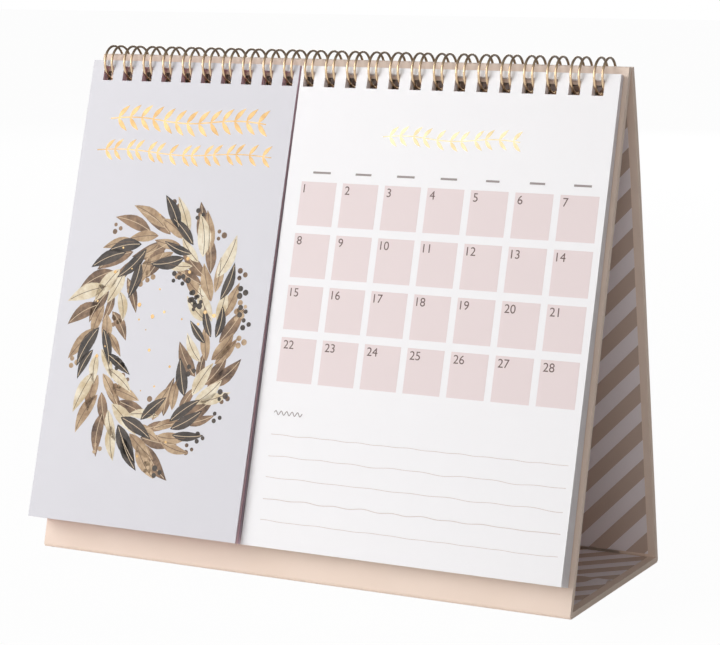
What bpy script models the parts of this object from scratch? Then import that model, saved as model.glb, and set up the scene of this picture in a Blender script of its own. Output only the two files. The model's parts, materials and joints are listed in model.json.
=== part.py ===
# Easel desk calendar: a hard easel wrapped in paper, two pads of leaves and a twin-loop wire.
# Units are metres. +Z is up, -Y is the front, and the origin is the centre of the underside.
import math

import bmesh
import bpy
from mathutils import Vector

MM = 0.001

# Easel panels. The two upright panels and the two halves of the base share one thickness.
EASEL_WIDTH = 209.0 * MM
FRONT_HEIGHT = 185.0 * MM
BASE_DEPTH = 84.0 * MM
FRONT_LEAN = math.radians(14.26)
BOARD_THICKNESS = 1.6 * MM
COVER_PAPER = 0.20 * MM
GLUE_LINE = 0.05 * MM
FOLD_RADIUS = 1.2 * MM
TOP_EDGE_RADIUS = 0.45 * MM
TURN_IN = 14.0 * MM
HINGE_GAP = 1.1 * MM
MIDDLE_GAP = 2.4 * MM
TOP_TOUCH_GAP = 0.30 * MM
REAR_BOW = 1.4 * MM
REAR_BOW_LENGTH = 45.0 * MM
BOW_STEPS = 6
FOLD_STEPS = 5

# Striped paper glued on the inside of the panels, short of their edges.
LINING_PAPER = 0.15 * MM
LINING_MARGIN = 2.9 * MM
LINING_FOLD_GAP = 0.9 * MM
CREASE_RISE = 0.9 * MM
CREASE_WIDTH = 7.0 * MM
CREASE_STEPS = 8

# Twin-loop wire, three loops to the inch.
LOOP_PITCH = 25.4 / 3 * MM
LOOP_COUNT = 24
RING_RADIUS = 6.3 * MM
WIRE_DIAMETER = 0.9 * MM
RING_DROP = 3.0 * MM
RING_ROW_OFFSET = -2.0 * MM
TWIN_HALF_SPACING = 1.3 * MM
TWIN_CROWN = 0.25 * MM
SEAM_ANGLE = math.radians(243.0)
SEAM_HALF_GAP = math.radians(7.5)
ARM_POINTS = 15
TIP_ROUND = 0.55 * MM
TIP_WIDTH_SHARE = 0.45
HEEL_BEND = 0.8 * MM
NEIGHBOUR_POINTS = 4

# Punched rectangular holes.
HOLE_WIDTH = 4.2 * MM
BOARD_HOLE_HEIGHT = 4.2 * MM
BOARD_HOLE_DROP = 8.7 * MM
LEAF_HOLE_HEIGHT = 5.4 * MM
LEAF_HOLE_DROP = 4.9 * MM

# Leaves. Each pad holds the same number, hung on its own run of loops.
LEAVES_PER_PAD = 6
LEAF_HEIGHT = 171.2 * MM
LEAF_TOP_DROP = 0.2 * MM
LEAF_THICKNESS = 0.32 * MM
LEAF_PITCH = 0.40 * MM
LEAF_STANDOFF = 0.35 * MM
PICTURE_LEAF_WIDTH = 87.6 * MM
MONTH_LEAF_WIDTH = 121.1 * MM
PAD_GAP = 0.8 * MM
PAD_ROW_OFFSET = -1.75 * MM
PICTURE_LOOPS = 10
BACK_LEAF_FAN = math.radians(0.12)
PICTURE_FAN_STEP = math.radians(0.44)
MONTH_FAN_STEP = math.radians(0.27)

PANEL = BOARD_THICKNESS + 2 * COVER_PAPER + 2 * GLUE_LINE
FRONT_UP = Vector((0, math.sin(FRONT_LEAN), math.cos(FRONT_LEAN)))
FRONT_IN = Vector((0, math.cos(FRONT_LEAN), -math.sin(FRONT_LEAN)))
FRONT_FOOT = Vector((0, -BASE_DEPTH / 2, 0))
REAR_FOOT = Vector((0, BASE_DEPTH / 2, 0))
SOLID_OVERRUN = 2.0 * MM
MITRE_DEPTH = FOLD_RADIUS - 0.05 * MM

# Plain colours, as linear red, green and blue.
PAPER_COLOUR = (0.80, 0.64, 0.53)
GREYBOARD_COLOUR = (0.22, 0.20, 0.18)
LINING_COLOUR = (0.42, 0.36, 0.34)
WIRE_COLOUR = (0.42, 0.30, 0.14)
PICTURE_LEAF_COLOUR = (0.72, 0.72, 0.80)
MONTH_LEAF_COLOUR = (0.93, 0.91, 0.90)


def rear_line():
    """The straight line that the rear panel's outer face leaves its foot along."""
    inner_top = FRONT_FOOT + FRONT_UP * FRONT_HEIGHT + FRONT_IN * (PANEL + TOP_TOUCH_GAP)
    bow_slope = 2 * REAR_BOW / REAR_BOW_LENGTH
    lean = FRONT_LEAN
    for _ in range(20):
        top_lean = lean + math.atan(bow_slope)
        outward = Vector((0, math.cos(top_lean), math.sin(top_lean)))
        straight_out = Vector((0, math.cos(lean), math.sin(lean)))
        target = inner_top + outward * PANEL + straight_out * REAR_BOW
        run = target - REAR_FOOT
        lean = math.atan2(-run.y, run.z)
    return lean, run.length


REAR_LEAN, REAR_HEIGHT = rear_line()
REAR_UP = Vector((0, -math.sin(REAR_LEAN), math.cos(REAR_LEAN)))
REAR_IN = Vector((0, -math.cos(REAR_LEAN), -math.sin(REAR_LEAN)))
FRONT_CORNER = math.pi / 2 - FRONT_LEAN
REAR_CORNER = math.pi / 2 - REAR_LEAN
RING_CENTRE = (FRONT_FOOT + FRONT_UP * (FRONT_HEIGHT - RING_DROP)
               + FRONT_IN * (PANEL + TOP_TOUCH_GAP / 2))


def front_point(height, depth):
    return FRONT_FOOT + FRONT_UP * height + FRONT_IN * depth


def rear_point(height, depth):
    """A point up the rear panel, whose top is drawn forward by the wire."""
    start = REAR_HEIGHT - REAR_BOW_LENGTH
    share = max(0.0, (height - start) / REAR_BOW_LENGTH)
    slope = 2 * REAR_BOW * share / REAR_BOW_LENGTH
    inward = (REAR_IN - REAR_UP * slope).normalized()
    return REAR_FOOT + REAR_UP * height + REAR_IN * REAR_BOW * share ** 2 + inward * depth


def rear_heights(low, high):
    """Heights up the rear panel, close together where it bows."""
    start = REAR_HEIGHT - REAR_BOW_LENGTH
    bowed = [start + REAR_BOW_LENGTH * i / BOW_STEPS for i in range(BOW_STEPS)]
    return [low] + [h for h in bowed if low < h < high] + [high]


def fold(foot, depth, corner, front):
    """The line round a bottom fold: an arc outside the fold radius, a sharp corner inside it."""
    reach = 1 / math.tan(corner / 2)
    side = 1 if front else -1
    if depth >= MITRE_DEPTH:
        return [foot + Vector((0, side * depth * reach, depth))]
    centre = foot + Vector((0, side * FOLD_RADIUS * reach, FOLD_RADIUS))
    radius = FOLD_RADIUS - depth
    turn = math.pi - corner
    line = []
    for i in range(FOLD_STEPS + 1):
        angle = turn * (1 - i / FOLD_STEPS)
        line.append(centre + Vector((0, -side * math.sin(angle), -math.cos(angle))) * radius)
    return line if front else line[::-1]


def wrap_line(depth, top_trim):
    """The easel's section at one depth in from its outer face, front top to rear top."""
    line = [front_point(FRONT_HEIGHT - top_trim, depth)]
    line += fold(FRONT_FOOT, depth, FRONT_CORNER, True)
    line += fold(REAR_FOOT, depth, REAR_CORNER, False)
    clear_of_fold = FOLD_RADIUS * 3
    line += [rear_point(h, depth) for h in rear_heights(clear_of_fold, REAR_HEIGHT - top_trim)]
    return line


def rounded_top(outer, inner):
    """The two outer corners of a closed section end, each cut to a small round."""
    along = (inner[0] - outer[0]).normalized()
    down = (outer[1] - outer[0]).normalized()
    ease = TOP_EDGE_RADIUS
    k = ease * (1 - math.sqrt(0.5))
    return [outer[0] + down * ease, outer[0] + down * k + along * k, outer[0] + along * ease]


def new_object(name, bm, parent=None):
    bmesh.ops.recalc_face_normals(bm, faces=bm.faces)
    mesh = bpy.data.meshes.new(name)
    bm.to_mesh(mesh)
    bm.free()
    obj = bpy.data.objects.new(name, mesh)
    bpy.context.scene.collection.objects.link(obj)
    obj.parent = parent
    return obj


def sheet_mesh(section, left, right):
    """A closed section in the YZ plane, extruded from left to right."""
    bm = bmesh.new()
    face = bm.faces.new([bm.verts.new((left, p.y, p.z)) for p in section])
    moved = bmesh.ops.extrude_face_region(bm, geom=[face])["geom"]
    verts = [v for v in moved if isinstance(v, bmesh.types.BMVert)]
    bmesh.ops.translate(bm, verts=verts, vec=(right - left, 0, 0))
    return bm


def sheet(name, section, half_width, parent=None):
    return new_object(name, sheet_mesh(section, -half_width, half_width), parent)


def as_cutter(obj):
    obj.hide_render = True
    obj.display_type = "WIRE"
    return obj


def cut(obj, cutter):
    modifier = obj.modifiers.new("cut_" + cutter.name, "BOOLEAN")
    modifier.operation = "DIFFERENCE"
    modifier.solver = "EXACT"
    modifier.object = cutter


def finish(obj, colour, roughness, metallic=0.0):
    material = bpy.data.materials.new(obj.name)
    material.use_nodes = True
    shader = material.node_tree.nodes["Principled BSDF"]
    shader.inputs["Base Color"].default_value = (*colour, 1)
    shader.inputs["Roughness"].default_value = roughness
    shader.inputs["Metallic"].default_value = metallic
    obj.data.materials.append(material)


def loop_places(first=0, count=LOOP_COUNT):
    start = RING_ROW_OFFSET - LOOP_PITCH * (LOOP_COUNT - 1) / 2
    return [start + LOOP_PITCH * i for i in range(first, first + count)]


def hole_punch(name, places, centre, height, up, through, parent=None):
    """Rectangular punches, one for each loop, run through a panel along its normal."""
    bm = bmesh.new()
    rise = up * height / 2
    reach = Vector((HOLE_WIDTH / 2, 0, 0))
    for x in places:
        middle = centre - through * SOLID_OVERRUN + Vector((x, 0, 0))
        corners = [middle + rise * a + reach * b for a, b in ((-1, -1), (-1, 1), (1, 1), (1, -1))]
        face = bm.faces.new([bm.verts.new(c) for c in corners])
        moved = bmesh.ops.extrude_face_region(bm, geom=[face])["geom"]
        verts = [v for v in moved if isinstance(v, bmesh.types.BMVert)]
        bmesh.ops.translate(bm, verts=verts, vec=through * (2 * SOLID_OVERRUN + PANEL))
    return as_cutter(new_object(name, bm, parent))


def make_punches():
    front = hole_punch("front_punch", loop_places(), front_point(FRONT_HEIGHT - BOARD_HOLE_DROP, 0),
                       BOARD_HOLE_HEIGHT, FRONT_UP, FRONT_IN)
    height = REAR_HEIGHT - BOARD_HOLE_DROP
    up = (rear_point(height + MM, 0) - rear_point(height - MM, 0)).normalized()
    inward = Vector((0, -up.z, up.y))
    rear = hole_punch("rear_punch", loop_places(), rear_point(height, 0),
                      BOARD_HOLE_HEIGHT, up, inward)
    return front, rear


def make_cover(punches):
    """One wrap of paper: outer face, side walls and turned-in strips round every board."""
    outer = wrap_line(0, 0)
    inner = wrap_line(PANEL, 0)
    section = rounded_top(outer, inner)[::-1] + outer[1:-1]
    section += rounded_top(outer[::-1], inner[::-1]) + inner[::-1]
    cover = sheet("cover_paper", section, EASEL_WIDTH / 2)
    pocket = wrap_line(COVER_PAPER, COVER_PAPER) + wrap_line(PANEL - COVER_PAPER, COVER_PAPER)[::-1]
    cut(cover, as_cutter(sheet("board_pocket", pocket, EASEL_WIDTH / 2 - COVER_PAPER)))
    window = wrap_line(PANEL / 2, TURN_IN) + wrap_line(PANEL + TOP_TOUCH_GAP / 2, TURN_IN)[::-1]
    cut(cover, as_cutter(sheet("turn_in_window", window, EASEL_WIDTH / 2 - TURN_IN)))
    for punch in punches:
        cut(cover, punch)
    finish(cover, PAPER_COLOUR, 0.62)


def panel_section(point, heights, near, far):
    return [point(h, near) for h in heights] + [point(h, far) for h in reversed(heights)]


def base_point(y, depth):
    return Vector((0, y, depth))


def make_boards(punches):
    """Greyboard inside the wrap, one piece for each stiff panel."""
    near = COVER_PAPER + GLUE_LINE
    far = near + BOARD_THICKNESS
    edge = COVER_PAPER + GLUE_LINE
    half_width = EASEL_WIDTH / 2 - edge
    front_low = PANEL / math.tan(FRONT_CORNER / 2) + HINGE_GAP
    rear_low = PANEL / math.tan(REAR_CORNER / 2) + HINGE_GAP
    front = sheet("front_board", panel_section(
        front_point, [front_low, FRONT_HEIGHT - edge], near, far), half_width)
    cut(front, punches[0])
    rear = sheet("rear_board", panel_section(
        rear_point, rear_heights(rear_low, REAR_HEIGHT - edge), near, far), half_width)
    cut(rear, punches[1])
    halves = (("base_board_front", -BASE_DEPTH / 2 + front_low, -MIDDLE_GAP / 2),
              ("base_board_rear", MIDDLE_GAP / 2, BASE_DEPTH / 2 - rear_low))
    for name, start, end in halves:
        finish(sheet(name, panel_section(base_point, [start, end], near, far), half_width),
               GREYBOARD_COLOUR, 0.85)
    finish(front, GREYBOARD_COLOUR, 0.85)
    finish(rear, GREYBOARD_COLOUR, 0.85)


def crease_point(y, depth):
    """The base lining lifts in a soft ridge over the gap between the base halves."""
    share = min(1.0, abs(y) / (CREASE_WIDTH / 2))
    return Vector((0, y, depth + CREASE_RISE * (0.5 + 0.5 * math.cos(math.pi * share))))


def make_linings(punches):
    near = PANEL + GLUE_LINE
    far = near + LINING_PAPER
    half_width = EASEL_WIDTH / 2 - LINING_MARGIN
    front_low = far / math.tan(FRONT_CORNER / 2) + LINING_FOLD_GAP
    rear_low = far / math.tan(REAR_CORNER / 2) + LINING_FOLD_GAP
    front = sheet("front_lining", panel_section(
        front_point, [front_low, FRONT_HEIGHT - LINING_MARGIN], near, far), half_width)
    cut(front, punches[0])
    rear = sheet("rear_lining", panel_section(
        rear_point, rear_heights(rear_low, REAR_HEIGHT - LINING_MARGIN), near, far), half_width)
    cut(rear, punches[1])
    ridge = [CREASE_WIDTH * (i / CREASE_STEPS - 0.5) for i in range(CREASE_STEPS + 1)]
    run = [-BASE_DEPTH / 2 + front_low] + ridge + [BASE_DEPTH / 2 - rear_low]
    base = sheet("base_lining", panel_section(crease_point, run, near, far), half_width)
    for lining in (front, rear, base):
        finish(lining, LINING_COLOUR, 0.6)


def ring_point(x, angle, radius=RING_RADIUS):
    """A point on a ring: angle 0 faces the front of the easel, a quarter turn faces up."""
    return (RING_CENTRE + Vector((x, 0, 0)) - FRONT_IN * radius * math.cos(angle)
            + FRONT_UP * radius * math.sin(angle))


def twin_half_width(share):
    return TWIN_HALF_SPACING + TWIN_CROWN * math.sin(math.pi * share)


def wire_route():
    """One unbroken wire: out along an arm, round the tip, back along its twin, on to the next."""
    tip = SEAM_ANGLE + SEAM_HALF_GAP - 2 * math.pi
    heel = SEAM_ANGLE - SEAM_HALF_GAP
    round_share = TIP_ROUND / (RING_RADIUS * (heel - tip))
    route = []
    for x in loop_places():
        shares = [round_share + (1 - 2 * round_share) * i / (ARM_POINTS - 1) for i in range(ARM_POINTS)]
        arm = [(share, twin_half_width(share)) for share in shares]
        route += [ring_point(x - w, tip + (heel - tip) * s) for s, w in reversed(arm)]
        tip_width = TWIN_HALF_SPACING * TIP_WIDTH_SHARE
        route += [ring_point(x + side * tip_width, tip) for side in (-1, 1)]
        route += [ring_point(x + w, tip + (heel - tip) * s) for s, w in arm]
        if x != loop_places()[-1]:
            reach = TWIN_HALF_SPACING + HEEL_BEND
            route += [ring_point(x + reach, heel), ring_point(x + LOOP_PITCH - reach, heel)]
    return route


def least_gap(route):
    """Smallest clear distance between stretches of wire that are not neighbours along it."""
    least = 1.0
    loop_points = len(route) // LOOP_COUNT
    for i in range(len(route) - 1):
        for j in range(i + NEIGHBOUR_POINTS, min(len(route) - 1, i + 2 * loop_points)):
            middle_i = (route[i] + route[i + 1]) / 2
            middle_j = (route[j] + route[j + 1]) / 2
            for a in (route[i], middle_i):
                for b in (route[j], middle_j):
                    least = min(least, (a - b).length - WIRE_DIAMETER)
    return least


def make_wire():
    route = wire_route()
    print("wire: least gap to itself %.2f mm" % (least_gap(route) / MM))
    curve = bpy.data.curves.new("wire_binding", "CURVE")
    curve.dimensions = "3D"
    curve.bevel_depth = WIRE_DIAMETER / 2
    curve.bevel_resolution = 1
    curve.use_fill_caps = True
    spline = curve.splines.new("POLY")
    spline.points.add(len(route) - 1)
    for point, place in zip(spline.points, route):
        point.co = (*place, 1)
    spline.use_smooth = True
    wire = bpy.data.objects.new("wire_binding", curve)
    bpy.context.scene.collection.objects.link(wire)
    finish(wire, WIRE_COLOUR, 0.28, 1.0)


def make_pad(word, left, width, first_loop, loops, fan_step, colour, axis):
    """A pad of leaves, front leaf first, fanned a little about the ring axis."""
    body = PANEL + TOP_TOUCH_GAP / 2
    for number in range(1, LEAVES_PER_PAD + 1):
        behind = LEAVES_PER_PAD - number
        near = -(body + LEAF_STANDOFF + LEAF_PITCH * behind)
        section = [Vector((0, near, -LEAF_TOP_DROP)), Vector((0, near - LEAF_THICKNESS, -LEAF_TOP_DROP)),
                   Vector((0, near - LEAF_THICKNESS, -LEAF_TOP_DROP - LEAF_HEIGHT)),
                   Vector((0, near, -LEAF_TOP_DROP - LEAF_HEIGHT))]
        leaf = new_object("%s_leaf_%d" % (word, number), sheet_mesh(section, left, left + width), axis)
        leaf.rotation_euler.x = -(BACK_LEAF_FAN + fan_step * behind)
        centre = Vector((0, near, -LEAF_TOP_DROP - LEAF_HOLE_DROP))
        punch = hole_punch("%s_punch_%d" % (word, number), loop_places(first_loop, loops),
                           centre, LEAF_HOLE_HEIGHT, Vector((0, 0, 1)), Vector((0, -1, 0)), leaf)
        cut(leaf, punch)
        finish(leaf, colour, 0.55)


def make_pads():
    axis = bpy.data.objects.new("ring_axis", None)
    bpy.context.scene.collection.objects.link(axis)
    axis.location = RING_CENTRE
    axis.rotation_euler.x = -FRONT_LEAN
    left = PAD_ROW_OFFSET - (PICTURE_LEAF_WIDTH + PAD_GAP + MONTH_LEAF_WIDTH) / 2
    make_pad("picture", left, PICTURE_LEAF_WIDTH, 0, PICTURE_LOOPS,
             PICTURE_FAN_STEP, PICTURE_LEAF_COLOUR, axis)
    left += PICTURE_LEAF_WIDTH + PAD_GAP
    make_pad("month", left, MONTH_LEAF_WIDTH, PICTURE_LOOPS, LOOP_COUNT - PICTURE_LOOPS,
             MONTH_FAN_STEP, MONTH_LEAF_COLOUR, axis)


def clear_scene():
    for obj in list(bpy.data.objects):
        bpy.data.objects.remove(obj, do_unlink=True)


clear_scene()
board_punches = make_punches()
make_cover(board_punches)
make_boards(board_punches)
make_linings(board_punches)
make_wire()
make_pads()
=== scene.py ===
import json
import math
import random

import bmesh
import bpy
from mathutils import Matrix, Vector


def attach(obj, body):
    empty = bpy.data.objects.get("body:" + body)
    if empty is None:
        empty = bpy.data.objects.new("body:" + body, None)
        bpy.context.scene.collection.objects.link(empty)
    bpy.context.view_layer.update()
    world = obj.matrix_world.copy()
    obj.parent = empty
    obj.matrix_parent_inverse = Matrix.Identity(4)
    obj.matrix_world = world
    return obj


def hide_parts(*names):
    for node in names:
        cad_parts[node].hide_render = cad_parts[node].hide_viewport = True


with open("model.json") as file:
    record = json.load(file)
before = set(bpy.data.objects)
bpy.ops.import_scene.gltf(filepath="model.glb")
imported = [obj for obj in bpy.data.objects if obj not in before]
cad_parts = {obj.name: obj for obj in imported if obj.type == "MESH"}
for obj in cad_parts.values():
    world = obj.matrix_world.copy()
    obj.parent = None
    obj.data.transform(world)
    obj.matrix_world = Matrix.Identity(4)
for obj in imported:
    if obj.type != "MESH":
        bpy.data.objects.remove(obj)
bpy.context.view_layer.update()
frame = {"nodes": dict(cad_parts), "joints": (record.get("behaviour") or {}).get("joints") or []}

mm = 0.001
nodes = frame["nodes"]
print("frame loaded:", len(nodes), "nodes")


# helpers for colours, materials and objects

def linearColour(hexText):
    values = [int(hexText[i:i + 2], 16) / 255 for i in (1, 3, 5)]
    linear = [v / 12.92 if v <= 0.04045 else ((v + 0.055) / 1.055) ** 2.4 for v in values]
    return (*linear, 1.0)


def newMaterial(name, roughness, metallic=0.0, colour=None):
    material = bpy.data.materials.new(name)
    material.use_nodes = True
    shader = material.node_tree.nodes["Principled BSDF"]
    shader.inputs["Roughness"].default_value = roughness
    shader.inputs["Metallic"].default_value = metallic
    if colour:
        shader.inputs["Base Color"].default_value = linearColour(colour)
    return material, shader


def addNode(owner, kind, settings=None, links=None):
    # a setting is an input, by name or number, or else a property of the node
    tree = owner.node_tree
    node = tree.nodes.new(kind)
    for key, value in (settings or {}).items():
        if isinstance(key, int) or key in node.inputs:
            node.inputs[key].default_value = value
        else:
            setattr(node, key, value)
    for key, source in (links or {}).items():
        tree.links.new(source, node.inputs[key])
    return node


def colourBy(material, shader, pattern, colours, span=(0.0, 1.0)):
    # a surface coloured by a pattern, from the first colour to the second over the span
    ramp = addNode(material, "ShaderNodeValToRGB", links={"Fac": pattern})
    for element, place, colour in zip(ramp.color_ramp.elements, span, colours):
        element.position = place
        element.color = linearColour(colour)
    material.node_tree.links.new(ramp.outputs["Color"], shader.inputs["Base Color"])


def paperGrain(material, shader, place, grain, depth):
    # felt side of paper: fibres clump at about a third of a millimetre
    fibres = addNode(material, "ShaderNodeTexNoise",
                     {"Scale": 1 / grain, "Detail": 4.0, "Roughness": 0.6}, {"Vector": place})
    bump = addNode(material, "ShaderNodeBump", {"Strength": 0.35, "Distance": depth},
                   {"Height": fibres.outputs["Fac"]})
    material.node_tree.links.new(bump.outputs["Normal"], shader.inputs["Normal"])


def setMaterial(obj, material):
    obj.data.materials.clear()
    obj.data.materials.append(material)


def link(obj):
    bpy.context.scene.collection.objects.link(obj)
    return obj


def meshObject(name, bm):
    mesh = bpy.data.meshes.new(name)
    bm.to_mesh(mesh)
    bm.free()
    return link(bpy.data.objects.new(name, mesh))


# camera, as the photograph was taken

view = {
    "azimuth": math.radians(27.272),
    "elevation": math.radians(9.177),
    "roll": math.radians(0.022),
    "distance": 810.125 * mm,
    "target": Vector((16.565, -22.0, 89.967)) * mm,
    "lens": 116.63,
    "sensorWidth": 36.0,
    "clipStart": 10 * mm,
}


def makeCamera():
    a, e = view["azimuth"], view["elevation"]
    back = Vector((math.sin(a) * math.cos(e), -math.cos(a) * math.cos(e), math.sin(e)))
    data = bpy.data.cameras.new("camera")
    data.sensor_width = view["sensorWidth"]
    data.lens = view["lens"]
    data.clip_start = view["clipStart"]
    camera = link(bpy.data.objects.new("camera", data))
    camera.location = view["target"] + back * view["distance"]
    aim = (-back).to_track_quat("-Z", "Y").to_matrix()
    camera.rotation_euler = (aim @ Matrix.Rotation(view["roll"], 3, "Z")).to_euler()
    bpy.context.scene.camera = camera


makeCamera()
print("camera placed")


# studio: a white room with three round soft lamps

studio = {
    "backdropColour": "#FFFFFF",
    "skyColour": "#FFFAF6",
    "worldStrength": 0.145,
    "floorColour": "#F4F3F2",
    "floorRoughness": 0.9,
    "floorGlow": 0.97,
    "floorHalf": 6.0,
    "floorDrop": 0.1 * mm,
    "aim": Vector((0, 0, 0.08)),
    # each lamp's power in watts, its width in metres and where it stands
    "lamps": {
        "key": (28.6, 1.5, Vector((-1.30, -1.20, 0.85))),
        "fill": (4.2, 1.0, Vector((0.45, -1.64, 0.45))),
        "back": (12.0, 1.2, Vector((-0.6, 1.7, 0.7))),
    },
}


def makeLamps():
    for name, (power, width, place) in studio["lamps"].items():
        data = bpy.data.lights.new(name, "AREA")
        data.shape = "DISK"
        data.size = width
        data.energy = power
        lamp = link(bpy.data.objects.new(name, data))
        lamp.location = place
        lamp.rotation_euler = (studio["aim"] - place).to_track_quat("-Z", "Y").to_euler()


def seenDirectly(owner):
    # 1 for rays from the camera and for mirror-like and see-through rays, 0 for the rest
    path = addNode(owner, "ShaderNodeLightPath").outputs
    first = addNode(owner, "ShaderNodeMath", {"operation": "MAXIMUM"},
                    {0: path["Is Camera Ray"], 1: path["Is Glossy Ray"]})
    both = addNode(owner, "ShaderNodeMath", {"operation": "MAXIMUM"},
                   {0: first.outputs["Value"], 1: path["Is Transmission Ray"]})
    return both.outputs["Value"]


def makeWorld():
    world = bpy.data.worlds.new("studio")
    bpy.context.scene.world = world
    world.use_nodes = True
    world.node_tree.nodes.clear()
    light = addNode(world, "ShaderNodeBackground", {"Color": linearColour(studio["skyColour"]),
                                                    "Strength": studio["worldStrength"]})
    shown = addNode(world, "ShaderNodeBackground",
                    {"Color": linearColour(studio["backdropColour"]), "Strength": 1.0})
    mix = addNode(world, "ShaderNodeMixShader", links={
        0: seenDirectly(world), 1: light.outputs["Background"], 2: shown.outputs["Background"]})
    addNode(world, "ShaderNodeOutputWorld", links={"Surface": mix.outputs["Shader"]})


def makeFloor():
    # matt white paint, which glows where it is seen directly and still keeps the shadow
    bm = bmesh.new()
    bmesh.ops.create_grid(bm, x_segments=1, y_segments=1, size=studio["floorHalf"])
    floor = meshObject("floor", bm)
    floor.location.z = -studio["floorDrop"]
    material, shader = newMaterial("floorPaint", studio["floorRoughness"],
                                   colour=studio["floorColour"])
    glow = addNode(material, "ShaderNodeEmission", {"Strength": 1.0})
    share = addNode(material, "ShaderNodeMath",
                    {"operation": "MULTIPLY", 1: studio["floorGlow"]}, {0: seenDirectly(material)})
    mix = addNode(material, "ShaderNodeMixShader", links={
        0: share.outputs["Value"], 1: shader.outputs["BSDF"], 2: glow.outputs["Emission"]})
    output = material.node_tree.nodes["Material Output"]
    material.node_tree.links.new(mix.outputs["Shader"], output.inputs["Surface"])
    setMaterial(floor, material)


bpy.context.scene.view_settings.view_transform = "Standard"
makeLamps()
makeWorld()
makeFloor()
print("studio lit")


# easel: covering paper, greyboard, striped lining

easel = {
    "coverColours": ("#F2DDCD", "#F4E0D1"),
    "coverSpan": (0.35, 0.65),
    "coverCloud": 35.71 * mm,
    "coverRoughness": 0.62,
    "boardColours": ("#77716A", "#9A948B"),
    "boardSpan": (0.3, 0.7),
    "boardFleck": 0.6667 * mm,
    "boardRoughness": 0.9,
    "stripeColours": ("#FAF2F5", "#CFB9AC"),
    "stripePeriod": 10.07 * mm,
    "stripeShare": 0.5,
    "stripeEdge": 2.2 * mm,
    "liningRoughness": 0.6,
    "grain": 0.35 * mm,
    "grainDepth": 0.012 * mm,
    "frontLean": math.radians(14.26),
    "rearLean": math.radians(10.32),
    "baseDepth": 84 * mm,
}


def makeCoverPaper():
    # matt coated covering paper over board: even peach-cream with faint clouding
    material, shader = newMaterial("coveringPaper", easel["coverRoughness"])
    place = addNode(material, "ShaderNodeTexCoord").outputs["Object"]
    clouds = addNode(material, "ShaderNodeTexNoise",
                     {"Scale": 1 / easel["coverCloud"], "Detail": 3.0}, {"Vector": place})
    colourBy(material, shader, clouds.outputs["Fac"], easel["coverColours"], easel["coverSpan"])
    paperGrain(material, shader, place, easel["grain"], easel["grainDepth"])
    setMaterial(nodes["cover_paper"], material)


def makeGreyboard():
    # unlined greyboard: pressed waste pulp, speckled
    material, shader = newMaterial("greyboard", easel["boardRoughness"])
    place = addNode(material, "ShaderNodeTexCoord").outputs["Object"]
    flecks = addNode(material, "ShaderNodeTexNoise",
                     {"Scale": 1 / easel["boardFleck"], "Detail": 3.0}, {"Vector": place})
    colourBy(material, shader, flecks.outputs["Fac"], easel["boardColours"], easel["boardSpan"])
    for name in ("front_board", "rear_board", "base_board_front", "base_board_rear"):
        setMaterial(nodes[name], material)


def makeLining(name, run, start):
    # offset-printed stripes on matt lining paper, at 45 degrees, running on round the folds;
    # run is the sheet's own length, and start what it reads at the world's origin
    material, shader = newMaterial("stripedLining_" + name, easel["liningRoughness"])
    place = addNode(material, "ShaderNodeTexCoord").outputs["Object"]
    diagonal = (run + Vector((-1, 0, 0))) / math.sqrt(2)
    along = addNode(material, "ShaderNodeVectorMath",
                    {"operation": "DOT_PRODUCT", 1: diagonal}, {0: place})
    shift = easel["stripeEdge"] - start / math.sqrt(2)
    moved = addNode(material, "ShaderNodeMath", {"operation": "SUBTRACT", 1: shift},
                    {0: along.outputs["Value"]})
    ratio = addNode(material, "ShaderNodeMath",
                    {"operation": "DIVIDE", 1: easel["stripePeriod"]}, {0: moved.outputs["Value"]})
    part = addNode(material, "ShaderNodeMath", {"operation": "FRACT"}, {0: ratio.outputs["Value"]})
    dark = addNode(material, "ShaderNodeMath",
                   {"operation": "LESS_THAN", 1: easel["stripeShare"]}, {0: part.outputs["Value"]})
    colourBy(material, shader, dark.outputs["Value"], easel["stripeColours"])
    paperGrain(material, shader, place, easel["grain"], easel["grainDepth"])
    setMaterial(nodes[name], material)


def makeLinings():
    # one run of stripes: down the rear panel, forward over the base and up the front panel
    depth, rear, front = easel["baseDepth"], easel["rearLean"], easel["frontLean"]
    makeLining("rear_lining", Vector((0, -math.sin(rear), math.cos(rear))),
               depth / 2 * math.sin(rear))
    makeLining("base_lining", Vector((0, 1, 0)), -depth / 2)
    makeLining("front_lining", Vector((0, -math.sin(front), -math.cos(front))),
               -depth - depth / 2 * math.sin(front))


makeCoverPaper()
makeGreyboard()
makeLinings()
print("easel papered")


# twin-loop wire: plated steel, wound in one piece along the row

wireWork = {
    "count": 24,
    "pitch": 25.4 / 3 * mm,  # three loops to the inch
    "rowOffset": -2.0 * mm,
    "ringRadius": 6.3 * mm,
    "diameter": 0.9 * mm,
    "bevelSteps": 3,
    "twinHalf": 1.3 * mm,
    "crown": 0.25 * mm,
    "seamAngle": math.radians(243.0),
    "seamHalfGap": math.radians(7.5),
    "armPoints": 26,
    "tipRound": 0.6 * mm,
    "tipSteps": 6,
    "heelOut": 0.45 * mm,
    "heelRun": 0.5 * mm,
    "heelTurn": 0.04,
    "lastLeafFan": math.radians(0.12),
    # the first colour is a painted highlight on the lower fronts, the second painted shade on the
    # crowns, blended by height above the ring's centre
    "colours": ("#DFC4A2", "#605040"),
    "paintedShadeSpan": (0.12, 1.0),
    # heights above the ring's centre where the painted shade starts and where it is full
    "paintedShadeFrom": -1.0 * mm,
    "paintedShadeTo": 6.0 * mm,
    "cloudSize": 2.4 * mm,
    "cloudShare": 0.25,
    "roughness": 0.27,
}
hinge = next(j for j in frame["joints"] if j["name"].endswith("leaf_6_turn"))
ringCentre = Vector(hinge["pos_m"])


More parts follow.
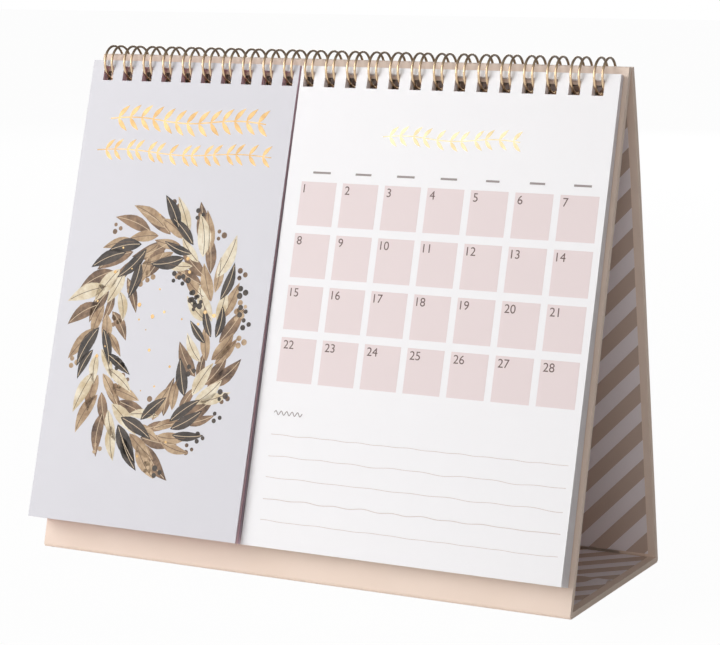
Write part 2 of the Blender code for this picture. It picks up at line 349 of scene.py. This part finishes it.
def leafFrame(name):
    # the leaf's front face: its normal, its upward direction and the middle of its top edge
    mesh = nodes[name].data
    face = max((p for p in mesh.polygons if p.normal.y < -0.5), key=lambda p: p.area)
    normal = face.normal.normalized()
    up = Vector((0, -normal.z, normal.y))
    if up.z < 0:
        up.negate()
    corners = [v.co for v in mesh.vertices]
    top = max(c.dot(up) for c in corners)
    front = max(c.dot(normal) for c in corners)
    return normal, up, up * top + normal * front


def wireRoute():
    w = wireWork
    # the front board's outward and upward directions: the last leaf's, turned back by its fan
    normal, up, _ = leafFrame("month_leaf_6")
    fan = Matrix.Rotation(w["lastLeafFan"], 3, "X")
    out, rise = fan @ normal, fan @ up

    def ringPoint(x, angle):
        arm = out * math.cos(angle) + rise * math.sin(angle)
        return Vector((x, ringCentre.y, ringCentre.z)) + arm * w["ringRadius"]

    tip = w["seamAngle"] + w["seamHalfGap"] - 2 * math.pi
    heel = w["seamAngle"] - w["seamHalfGap"]
    roundShare = w["tipRound"] / (w["ringRadius"] * (heel - tip))
    arm = []
    for i in range(w["armPoints"]):
        share = roundShare + (1 - 2 * roundShare) * i / (w["armPoints"] - 1)
        arm.append((share, w["twinHalf"] + w["crown"] * math.sin(math.pi * share)))
    first = w["rowOffset"] - w["pitch"] * (w["count"] - 1) / 2
    reach = w["twinHalf"] + w["heelOut"]
    route = []
    for number in range(w["count"]):
        x = first + w["pitch"] * number
        route += [ringPoint(x - h, tip + (heel - tip) * s) for s, h in reversed(arm)]
        for k in range(1, w["tipSteps"]):
            turn = math.pi * k / w["tipSteps"]
            bend = tip + (heel - tip) * roundShare * (1 - math.sin(turn))
            route.append(ringPoint(x - math.cos(turn) * w["twinHalf"], bend))
        route += [ringPoint(x + h, tip + (heel - tip) * s) for s, h in arm]
        if number < w["count"] - 1:
            after = x + w["pitch"]
            route += [ringPoint(x + reach, heel - w["heelTurn"]),
                      ringPoint(x + reach + w["heelRun"], heel),
                      ringPoint(after - reach - w["heelRun"], heel),
                      ringPoint(after - reach, heel - w["heelTurn"])]
    return route


def wireMaterial():
    # steel wire plated antique brass, with painted shade darkening the crowns and a painted
    # highlight brightening the lower fronts, over a faint random mottle
    w = wireWork
    material, shader = newMaterial("antiqueBrassWire", w["roughness"], 1.0)
    place = addNode(material, "ShaderNodeTexCoord").outputs["Object"]
    split = addNode(material, "ShaderNodeSeparateXYZ", links={"Vector": place})
    # painted shade by height: painted highlight below, dark painted shade on the crowns above,
    # with a random mottle added
    level = addNode(material, "ShaderNodeMapRange", {"From Min": ringCentre.z + w["paintedShadeFrom"],
                                                     "From Max": ringCentre.z + w["paintedShadeTo"]},
                    {"Value": split.outputs["Z"]})
    clouds = addNode(material, "ShaderNodeTexNoise",
                     {"Scale": 1 / w["cloudSize"], "Detail": 3.0}, {"Vector": place})
    paintedShadeAndMottle = addNode(material, "ShaderNodeMath", {"operation": "MULTIPLY_ADD", 1: w["cloudShare"]},
                   {0: clouds.outputs["Fac"], 2: level.outputs["Result"]})
    colourBy(material, shader, paintedShadeAndMottle.outputs["Value"], w["colours"], w["paintedShadeSpan"])
    return material


def makeWire():
    route = wireRoute()
    curve = bpy.data.curves.new("twin_loop_wire", "CURVE")
    curve.dimensions = "3D"
    curve.bevel_depth = wireWork["diameter"] / 2
    curve.bevel_resolution = wireWork["bevelSteps"]
    curve.use_fill_caps = True
    spline = curve.splines.new("POLY")
    spline.points.add(len(route) - 1)
    for point, place in zip(spline.points, route):
        point.co = (*place, 1)
    spline.use_smooth = True
    wire = link(bpy.data.objects.new("twin_loop_wire", curve))
    curve.materials.append(wireMaterial())
    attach(wire, "stand")
    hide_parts("wire_binding")


makeWire()
print("wire wound")


# leaves: card, tints and cut edges

pads = {
    "count": 6,
    "pictureTints": ["#DDDCE2", "#EECDD2", "#E4D2DE", "#F3DDD8", "#DCD2E6", "#F4CFD8"],
    "pictureEdges": ["#E4DFE6", "#E9B4C4", "#DCC6D4", "#EFC9D2", "#DFC0D2", "#F9C0CE"],
    "monthWhite": "#FBFAFC",
    "monthEdge": "#FBF2F3",
    "cardRoughness": 0.55,
    "faceTilt": 0.7,
    "grain": 0.3 * mm,
    "grainDepth": 0.008 * mm,
}


def makeCard(name, tint, edge):
    # uncoated card, printed in a flat tint on its faces, its cut edges in a tint of their own
    material, shader = newMaterial(name, pads["cardRoughness"])
    coords = addNode(material, "ShaderNodeTexCoord").outputs
    split = addNode(material, "ShaderNodeSeparateXYZ", links={"Vector": coords["Normal"]})
    facing = addNode(material, "ShaderNodeMath", {"operation": "ABSOLUTE"},
                     {0: split.outputs["Y"]})
    onFace = addNode(material, "ShaderNodeMath",
                     {"operation": "GREATER_THAN", 1: pads["faceTilt"]},
                     {0: facing.outputs["Value"]})
    colourBy(material, shader, onFace.outputs["Value"], (edge, tint))
    paperGrain(material, shader, coords["Object"], pads["grain"], pads["grainDepth"])
    return material


def makeCards():
    white = makeCard("whiteCard", pads["monthWhite"], pads["monthEdge"])
    tints = zip(pads["pictureTints"], pads["pictureEdges"])
    for number, (tint, edge) in enumerate(tints, 1):
        setMaterial(nodes["picture_leaf_%d" % number],
                    makeCard("tintedCard_%d" % number, tint, edge))
        setMaterial(nodes["month_leaf_%d" % number], white)


makeCards()
print("leaves coloured")


# print on the leaves, laid flat at x across the easel and y up from the leaf's top edge

inkWork = {
    "thick": 0.02 * mm,  # thicker than real ink, so that it is a shape of its own
    "lift": 0.004 * mm,
    "grain": 0.3 * mm,
    "roughness": 0.6,
    "grainDepth": 0.006 * mm,
    "foilRoughness": 0.45,
    "foilMetallic": 0.4,
    "foilMottle": 3.846 * mm,
    "foilSpan": (0.35, 0.6),
    "foilDepth": 0.01 * mm,
    "washRoughness": 0.65,
    "washPool": 6.667 * mm,
    "washSpan": (0.36, 0.62),
    "discSides": 14,
    "bladeSides": 20,
    "bladeFull": 1.25,
    "bladeTaper": 0.55,
    "bladeGirth": 0.8,
}
inkThick = inkWork["thick"]


def inkMaterial(name, colour):
    # offset ink: so thin that it takes the card's own grain
    material, shader = newMaterial(name, inkWork["roughness"], colour=colour)
    place = addNode(material, "ShaderNodeTexCoord").outputs["Object"]
    paperGrain(material, shader, place, inkWork["grain"], inkWork["grainDepth"])
    return material


def foilMaterial(name, colours):
    # hot-stamped gold foil: bright, slightly mottled where it missed the grain
    material, shader = newMaterial(name, inkWork["foilRoughness"], inkWork["foilMetallic"])
    place = addNode(material, "ShaderNodeTexCoord").outputs["Object"]
    mottle = addNode(material, "ShaderNodeTexNoise",
                     {"Scale": 1 / inkWork["foilMottle"], "Detail": 4.0}, {"Vector": place})
    colourBy(material, shader, mottle.outputs["Fac"], colours, inkWork["foilSpan"])
    paperGrain(material, shader, place, inkWork["grain"], inkWork["foilDepth"])
    return material


def washMaterial(name, colours):
    # watercolour wash: pigment pools in soft patches and fine hair-like strokes
    material, shader = newMaterial(name, inkWork["washRoughness"])
    place = addNode(material, "ShaderNodeTexCoord").outputs["Object"]
    pool = addNode(material, "ShaderNodeTexNoise",
                   {"Scale": 1 / inkWork["washPool"], "Detail": 6.0, "Roughness": 0.7},
                   {"Vector": place})
    colourBy(material, shader, pool.outputs["Fac"], colours, inkWork["washSpan"])
    paperGrain(material, shader, place, inkWork["grain"], inkWork["grainDepth"])
    return material


def printOn(pad, number, name, bm, material):
    # lays a flat print on the front of one leaf of a pad, and it turns with the leaf
    leaf = "%s_leaf_%d" % (pad, number + 1)
    obj = meshObject("%s_%d" % (name, number + 1), bm)
    setMaterial(obj, material)
    normal, up, top = leafFrame(leaf)
    base = top + normal * inkWork["lift"]
    obj.data.transform(Matrix(((1, 0, 0, 0), (0, up.y, normal.y, base.y),
                               (0, up.z, normal.z, base.z), (0, 0, 0, 1))))
    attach(obj, leaf)


def addBlock(bm, x, y, width, height):
    made = bmesh.ops.create_cube(bm, size=1.0)["verts"]
    bmesh.ops.scale(bm, vec=(width, height, inkThick), verts=made)
    bmesh.ops.translate(bm, vec=(x, y, inkThick / 2), verts=made)


def addDisc(bm, x, y, radius, z):
    made = bmesh.ops.create_cone(bm, cap_ends=True, segments=inkWork["discSides"], radius1=radius,
                                 radius2=radius, depth=inkThick)["verts"]
    bmesh.ops.translate(bm, vec=(x, y, z + inkThick / 2), verts=made)


def addBlade(bm, x, y, length, width, turn, z, bend):
    # a leaf blade: a thin disc drawn to a point at both ends and bent a little to one side
    made = bmesh.ops.create_cone(bm, cap_ends=True, segments=inkWork["bladeSides"], radius1=0.5,
                                 radius2=0.5, depth=inkThick)["verts"]
    for v in made:
        along = v.co.x + 0.5
        swell = math.sqrt(max(0.0, 4 * along * (1 - along)))
        fullness = inkWork["bladeFull"] - inkWork["bladeTaper"] * along
        v.co.y *= width * fullness * swell * inkWork["bladeGirth"]
        v.co.x = along * length
        v.co.y += bend * length * along * (1 - along)
    bmesh.ops.transform(bm, matrix=Matrix.Rotation(turn, 4, "Z"), verts=made)
    bmesh.ops.translate(bm, vec=(x, y, z + inkThick / 2), verts=made)


def addRibbon(bm, points, width):
    # a flat stroke along a line of points
    rows = []
    for i, p in enumerate(points):
        ahead = points[min(i + 1, len(points) - 1)] - points[max(i - 1, 0)]
        side = Vector((-ahead.y, ahead.x, 0)).normalized() * width / 2
        rows.append((bm.verts.new(p + side), bm.verts.new(p - side)))
    faces = [bm.faces.new((a[0], a[1], b[1], b[0])) for a, b in zip(rows, rows[1:])]
    made = bmesh.ops.extrude_face_region(bm, geom=faces)["geom"]
    raised = [v for v in made if isinstance(v, bmesh.types.BMVert)]
    bmesh.ops.translate(bm, vec=(0, 0, inkThick), verts=raised)
    bmesh.ops.recalc_face_normals(bm, faces=bm.faces)


# sprigs of gold foil; the sizes are shares of a sprig's own size

sprigWork = {
    "steps": 40,
    "bareSteps": 2,
    "wave": 0.12,
    "humps": 3,
    "stem": 0.07,
    "bladeLength": 0.95,
    "bladeWidth": 0.33,
    "splay": math.radians(48),
    "bend": 0.2,
    "liftShare": 0.2,
}


def addSprig(bm, x, y, length, size, pairs):
    # a lying sprig: a waved stem with small blades set in pairs
    s = sprigWork
    points = []
    for i in range(s["steps"] + 1):
        share = i / s["steps"]
        wave = s["wave"] * size * math.sin(share * math.pi * s["humps"])
        points.append(Vector((x - length / 2 + length * share, y + wave, 0)))
    addRibbon(bm, points, size * s["stem"])
    leafy = s["steps"] - 2 * s["bareSteps"]
    for k in range(pairs):
        at = points[s["bareSteps"] + int(leafy * k / (pairs - 1))]
        for side in (1, -1):
            addBlade(bm, at.x, at.y, size * s["bladeLength"], size * s["bladeWidth"],
                     side * s["splay"], inkThick * s["liftShare"], side * s["bend"])


# month leaves: day boxes with numerals, plain heads, ruled lines and a sprig

monthPage = {
    "columns": 7,
    "shortRows": 4,
    "longRows": 5,
    "firstX": -5.22 * mm,
    "firstY": -49.5 * mm,
    "columnPitch": 16.45 * mm,
    "rowPitch": 18.55 * mm,
    "cellWidth": 13.95 * mm,
    "cellHeight": 15.7 * mm,
    "longRowPitch": 15.3 * mm,
    "longCellHeight": 12.8 * mm,
    "cellTints": ["#EEDFDF", "#E6E4EC", "#DFE6DD", "#EDE6D8", "#E4DDE9", "#DCE5E9"],
    # each leaf's first column and number of days
    "days": [(0, 28), (3, 31), (6, 30), (1, 31), (4, 30), (2, 31)],
    "numeralColour": "#6B5450",
    "numeralHeight": 4.3 * mm,
    "numeralInset": (1.1 * mm, 1.0 * mm),
    "headColour": "#9B918F",
    "headY": -38.3 * mm,
    "headShift": 0.6 * mm,
    "headHeight": 0.75 * mm,
    "headWidths": (7.0, 6.2, 6.8, 6.2, 5.0, 5.6, 6.4),
    "ruleColour": "#DBD0CC",
    "ruleLeft": -11.5 * mm,
    "ruleRight": 100.6 * mm,
    "ruleFirst": -131.6 * mm,
    "rulePitch": 7.55 * mm,
    "ruleCount": 5,
    "ruleSteps": 110,
    "ruleWidth": 0.24 * mm,
    "ruleWidthPlay": (0.85, 1.15),
    "ruleSeed": 40,
    # the waves in a ruled line: how many, how high and long in millimetres, and their phase
    "waves": 4,
    "waveRise": (0.05, 0.16),
    "waveSpan": (9, 34),
    "wavePhase": (0, 6.3),
    "noteX": -11.3 * mm,
    "noteY": -124.0 * mm,
    "noteLength": 11 * mm,
    "noteSteps": 80,
    "noteRise": 0.7 * mm,
    "noteTurn": 0.4,
    "noteWidth": 0.32 * mm,
    "foilColours": ("#CBB78C", "#DDCCA4"),
    "sprigX": 43.5 * mm,
    "sprigY": -24.5 * mm,
    "sprigLength": 52.0 * mm,
    "sprigSize": 5.0 * mm,
    "sprigPairs": 11,
}
numeralInk = inkMaterial("numeralInk", monthPage["numeralColour"])
headInk = inkMaterial("headInk", monthPage["headColour"])
ruleInk = inkMaterial("roseRuleInk", monthPage["ruleColour"])
paleFoil = foilMaterial("paleGoldFoil", monthPage["foilColours"])


def numeralMesh(number):
    text = bpy.data.curves.new("numeral", "FONT")
    text.body = str(number)
    text.size = monthPage["numeralHeight"]
    text.extrude = inkThick / 2
    holder = link(bpy.data.objects.new("numeral", text))
    bpy.context.view_layer.update()
    shaped = holder.evaluated_get(bpy.context.evaluated_depsgraph_get())
    mesh = bpy.data.meshes.new_from_object(shaped)
    bpy.data.objects.remove(holder)
    bpy.data.curves.remove(text)
    return mesh


def makeCells(number, numerals):
    m = monthPage
    start, count = m["days"][number]
    rows = (start + count - 1) // m["columns"] + 1
    rowPitch, height = m["rowPitch"], m["cellHeight"]
    if rows > m["shortRows"]:
        rowPitch, height = m["longRowPitch"], m["longCellHeight"]
    if rows > m["longRows"]:
        rowPitch, height = rowPitch * m["longRows"] / rows, height * m["longRows"] / rows
    top = m["firstY"] + m["cellHeight"] / 2
    cells = bmesh.new()
    figures = bmesh.new()
    for day in range(count):
        row, column = divmod(start + day, m["columns"])
        x = m["firstX"] + m["columnPitch"] * column
        y = top - rowPitch * row - height / 2
        addBlock(cells, x, y, m["cellWidth"], height)
        before = len(figures.verts)
        figures.from_mesh(numerals[day])
        figures.verts.ensure_lookup_table()
        fresh = figures.verts[before:]
        left = x - m["cellWidth"] / 2 + m["numeralInset"][0]
        head = y + height / 2 - m["numeralInset"][1]
        # a numeral is centred on its own thickness, and lies on the box's ink
        bmesh.ops.translate(figures, verts=fresh, vec=(
            left - min(v.co.x for v in fresh), head - max(v.co.y for v in fresh), inkThick * 1.5))
    tint = inkMaterial("cellTint_%d" % (number + 1), m["cellTints"][number])
    printOn("month", number, "day_boxes", cells, tint)
    printOn("month", number, "day_numerals", figures, numeralInk)


def makeHeads(number):
    # a plain bar stands over each column
    m = monthPage
    bm = bmesh.new()
    for column, width in enumerate(m["headWidths"]):
        x = m["firstX"] + m["columnPitch"] * column + m["headShift"]
        addBlock(bm, x, m["headY"], width * mm, m["headHeight"])
    printOn("month", number, "column_heads", bm, headInk)


def makeRules(number):
    # ruled lines, each a little uneven, as if drawn by hand
    m = monthPage
    rng = random.Random(m["ruleSeed"] + number)
    bm = bmesh.new()
    for k in range(m["ruleCount"]):
        y = m["ruleFirst"] - m["rulePitch"] * k
        waves = [(rng.uniform(*m["waveRise"]) * mm, rng.uniform(*m["waveSpan"]) * mm,
                  rng.uniform(*m["wavePhase"])) for _ in range(m["waves"])]
        points = []
        for i in range(m["ruleSteps"] + 1):
            x = m["ruleLeft"] + (m["ruleRight"] - m["ruleLeft"]) * i / m["ruleSteps"]
            rise = sum(a * math.sin(2 * math.pi * x / span + phase) for a, span, phase in waves)
            points.append(Vector((x, y + rise, 0)))
        addRibbon(bm, points, m["ruleWidth"] * rng.uniform(*m["ruleWidthPlay"]))
    printOn("month", number, "note_rules", bm, ruleInk)


def makeMonthSprig(number):
    m = monthPage
    bm = bmesh.new()
    addSprig(bm, m["sprigX"], m["sprigY"], m["sprigLength"], m["sprigSize"], m["sprigPairs"])
    printOn("month", number, "foil_sprig", bm, paleFoil)


def makeNoteMark(number):
    # a small wave of ink above the ruled lines
    m = monthPage
    bm = bmesh.new()
    points = [Vector((m["noteX"] + m["noteLength"] * i / m["noteSteps"],
                      m["noteY"] + m["noteRise"] * math.sin(i * m["noteTurn"]), 0))
              for i in range(m["noteSteps"] + 1)]
    addRibbon(bm, points, m["noteWidth"])
    printOn("month", number, "note_mark", bm, headInk)


numerals = [numeralMesh(day + 1) for day in range(31)]
for number in range(pads["count"]):
    makeCells(number, numerals)
    makeHeads(number)
    makeRules(number)
    makeMonthSprig(number)
    makeNoteMark(number)
print("month leaves printed")


# picture leaves: a watercolour garland of leaves with berries and gold flecks

garland = {
    "centre": (-62.8 * mm, -101.0 * mm),
    "radii": (24.0 * mm, 36.0 * mm),
    "seed": 7,
    # each ring of blades: how far out, how many, how long, how wide, how much they splay
    "rings": ((1.10, 30, 15.5, 6.6, 42), (1.03, 28, 15.0, 6.4, 16),
              (0.95, 28, 14.5, 6.0, -10), (0.86, 26, 13.5, 5.6, -42)),
    # how much a blade may differ: its place, its turn in degrees, size, bend and girth
    "placePlay": (-0.2, 0.2),
    "turnPlay": (-14, 14),
    "sizePlay": (0.78, 1.12),
    "bendPlay": (0.1, 0.3),
    "girthPlay": (0.8, 1.1),
    "washes": (("brownWash", ("#4E3A2E", "#A08267")), ("tanWash", ("#8E6F52", "#CFB493")),
               ("creamWash", ("#CDB893", "#F3E9D3")), ("charcoalWash", ("#1B1715", "#544A43"))),
    "washOrder": (0, 1, 3, 2, 1, 0, 2, 3, 1, 0, 1, 3, 0, 2),
    "layerStep": 0.008 * mm,
    "veins": (("paleVein", "#D9C2A4"), ("darkVein", "#6B5340")),
    "darkVeined": (1, 2),
    "veinWidth": 0.22 * mm,
    "veinSteps": 8,
    "veinFrom": 0.06,
    "veinLength": 0.86,
    "berries": 40,
    "berryReaches": (0.72, 0.76, 1.42, 1.48),
    "berryPlay": (-0.04, 0.04),
    "berryWashes": (0, 1, 3),
    "berrySquash": (1.0, 0.92),
    "berryTurns": (0, 2.1, 4.2),
    "berrySpread": 1.5 * mm,
    "berryRadii": (0.7, 1.15),
    "flecks": 26,
    "fleckReach": (0.2, 1.6),
    "fleckSquash": (0.8, 0.85),
    "fleckRadii": (0.25, 0.8),
    "fleckLayer": 5,
    "foilColours": ("#B08C58", "#CBA974"),
    # each sprig above the garland: its middle, length and size in millimetres, and its pairs
    "topSprigs": ((-62.5, -22.0, 66.0, 6.8, 13), (-62.5, -34.0, 74.0, 5.6, 15)),
}
washes = [washMaterial(name, colours) for name, colours in garland["washes"]]
veinInks = [inkMaterial(name, colour) for name, colour in garland["veins"]]
goldFoil = foilMaterial("goldFoil", garland["foilColours"])


def garlandPlace(reach, angle, squash=(1.0, 1.0)):
    # a reach of 1 is on the garland's own oval
    (x, y), (wide, high) = garland["centre"], garland["radii"]
    return (x + reach * squash[0] * wide * math.cos(angle),
            y + reach * squash[1] * high * math.sin(angle))


def addVein(bm, x, y, length, turn, bend, z):
    g = garland
    points = []
    for i in range(g["veinSteps"] + 1):
        along = g["veinFrom"] + g["veinLength"] * i / g["veinSteps"]
        flat = Vector((along * length, bend * length * along * (1 - along), 0))
        flat.rotate(Matrix.Rotation(turn, 3, "Z"))
        points.append(flat + Vector((x, y, z)))
    addRibbon(bm, points, g["veinWidth"])


def addBlades(number, rng, layers, veins):
    g = garland
    wide, high = g["radii"]
    order = number
    for reach, blades, length, width, splay in g["rings"]:
        for k in range(blades):
            angle = 2 * math.pi * (k + rng.uniform(*g["placePlay"])) / blades
            x, y = garlandPlace(reach, angle)
            heading = math.atan2(high * math.cos(angle), -wide * math.sin(angle))
            turn = heading - math.radians(splay + rng.uniform(*g["turnPlay"]))
            size = rng.uniform(*g["sizePlay"])
            bend = rng.uniform(*g["bendPlay"]) * (1 if splay < 0 else -1)
            wash = g["washOrder"][order % len(g["washOrder"])]
            order += 1
            lift = g["layerStep"] * wash
            addBlade(layers[wash], x, y, length * size * mm,
                     width * size * rng.uniform(*g["girthPlay"]) * mm, turn, lift, bend)
            addVein(veins[wash in g["darkVeined"]], x, y, length * size * mm, turn, bend,
                    lift + inkThick)


def addBerries(rng, layers):
    # berries hang in threes inside and outside the blades
    g = garland
    for _ in range(g["berries"]):
        angle = rng.uniform(0, 2 * math.pi)
        reach = rng.choice(g["berryReaches"]) + rng.uniform(*g["berryPlay"])
        wash = rng.choice(g["berryWashes"])
        x, y = garlandPlace(reach, angle, g["berrySquash"])
        for turn in g["berryTurns"]:
            addDisc(layers[wash], x + g["berrySpread"] * math.cos(turn),
                    y + g["berrySpread"] * math.sin(turn),
                    rng.uniform(*g["berryRadii"]) * mm, g["layerStep"] * wash)


def addFlecks(rng, bm):
    g = garland
    for _ in range(g["flecks"]):
        angle = rng.uniform(0, 2 * math.pi)
        x, y = garlandPlace(rng.uniform(*g["fleckReach"]), angle, g["fleckSquash"])
        addDisc(bm, x, y, rng.uniform(*g["fleckRadii"]) * mm, g["layerStep"] * g["fleckLayer"])


def makeGarland(number):
    rng = random.Random(garland["seed"] + number)
    layers = [bmesh.new() for _ in washes]
    veins = [bmesh.new() for _ in veinInks]
    addBlades(number, rng, layers, veins)
    addBerries(rng, layers)
    for bm, material in zip(layers + veins, washes + veinInks):
        printOn("picture", number, "garland_" + material.name, bm, material)
    foilWork = bmesh.new()
    addFlecks(rng, foilWork)
    for x, y, length, size, pairs in garland["topSprigs"]:
        addSprig(foilWork, x * mm, y * mm, length * mm, size * mm, pairs)
    printOn("picture", number, "foil_flecks", foilWork, goldFoil)


for number in range(pads["count"]):
    makeGarland(number)
print("picture leaves printed")
